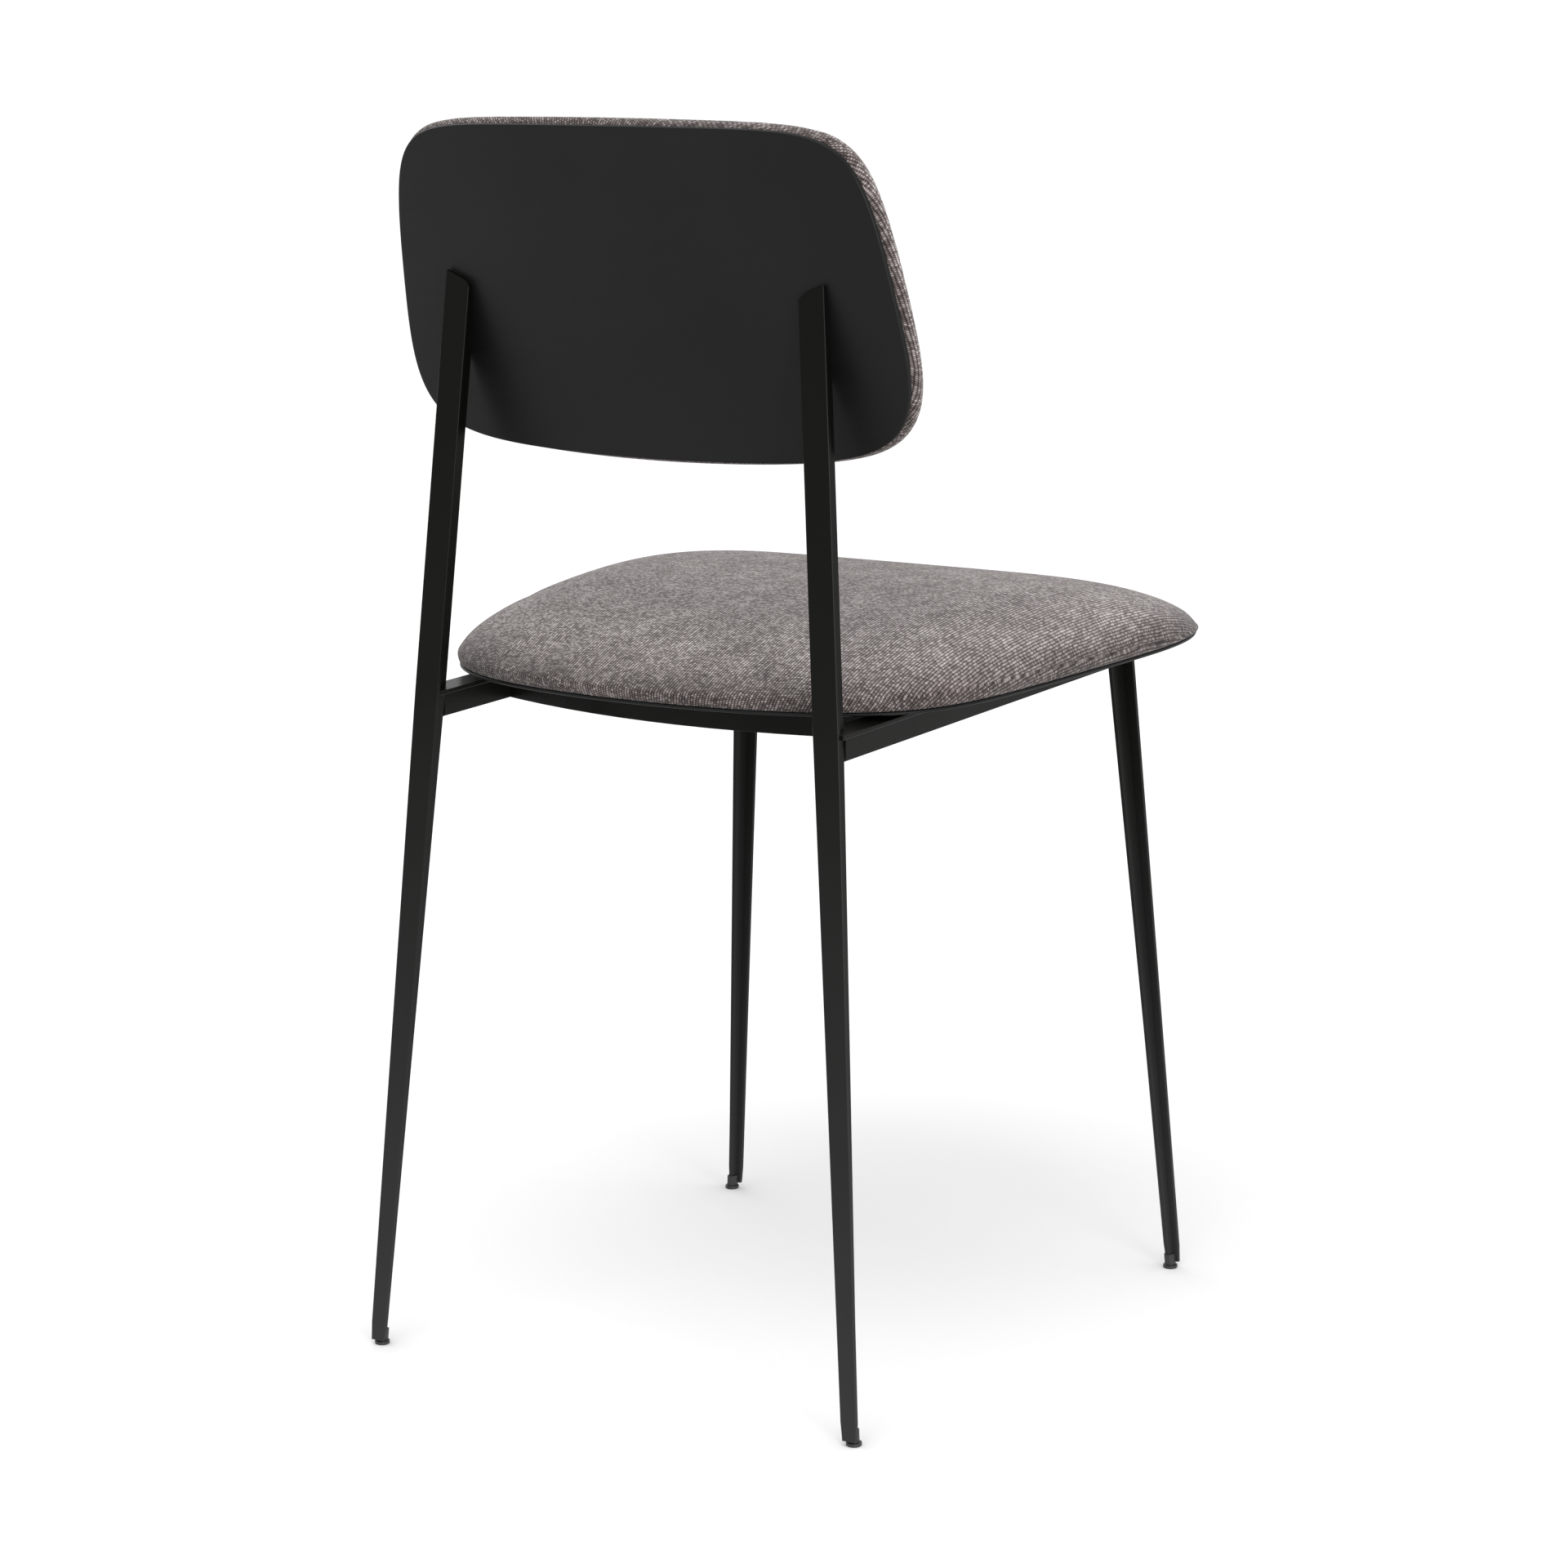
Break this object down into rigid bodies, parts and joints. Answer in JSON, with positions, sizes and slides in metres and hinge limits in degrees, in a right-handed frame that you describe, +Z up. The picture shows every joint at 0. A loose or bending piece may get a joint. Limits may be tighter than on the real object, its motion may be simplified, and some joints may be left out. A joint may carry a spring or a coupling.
{
  "type": "dining chair",
  "caption": "Armless dining chair: welded frame of slim T-profile steel bars with tapered splayed legs, carrying an upholstered seat and a rounded bowed back pad.",
  "frame": {"origin": "on the floor, at the bottom centre of the whole chair's box", "axes": "+Z up; the sitter faces -Y, so the back pad is towards +Y; +X is the sitter's left; X = 0 is the symmetry plane"},
  "size_m": [0.437, 0.4714, 0.8038],
  "materials": {
    "frame_paint": "black powder coat, satin, very finely textured",
    "shell_paint": "black, semi-matte and smooth",
    "glide": "black moulded plastic",
    "fixings": "zinc plated",
    "board": "raw birch plywood",
    "foam": null,
    "fabric": "coarse grey-brown rib weave with a washed, mottled shade"
  },
  "bodies": {
    "root": {"rear_leg_left": "frame_paint", "rear_leg_right": "frame_paint", "front_leg_left": "frame_paint", "front_leg_right": "frame_paint", "side_rail_left": "frame_paint", "side_rail_right": "frame_paint", "rear_rail": "frame_paint", "front_rail": "frame_paint", "rear_glide_left": "glide", "rear_glide_right": "glide", "front_glide_left": "glide", "front_glide_right": "glide", "seat_shell": "shell_paint", "seat_board": "board", "seat_foam": "foam", "seat_cover": "fabric", "seat_tab_rear_left": "frame_paint", "seat_tab_rear_right": "frame_paint", "seat_tab_front_left": "frame_paint", "seat_tab_front_right": "frame_paint", "seat_screw_rear_left": "fixings", "seat_screw_rear_right": "fixings", "seat_screw_front_left": "fixings", "seat_screw_front_right": "fixings", "tee_nut_rear_left": "fixings", "tee_nut_rear_right": "fixings", "tee_nut_front_left": "fixings", "tee_nut_front_right": "fixings", "back_shell": "shell_paint", "back_board": "board", "back_foam": "foam", "back_cover": "fabric"}
  },
  "joints": []
}
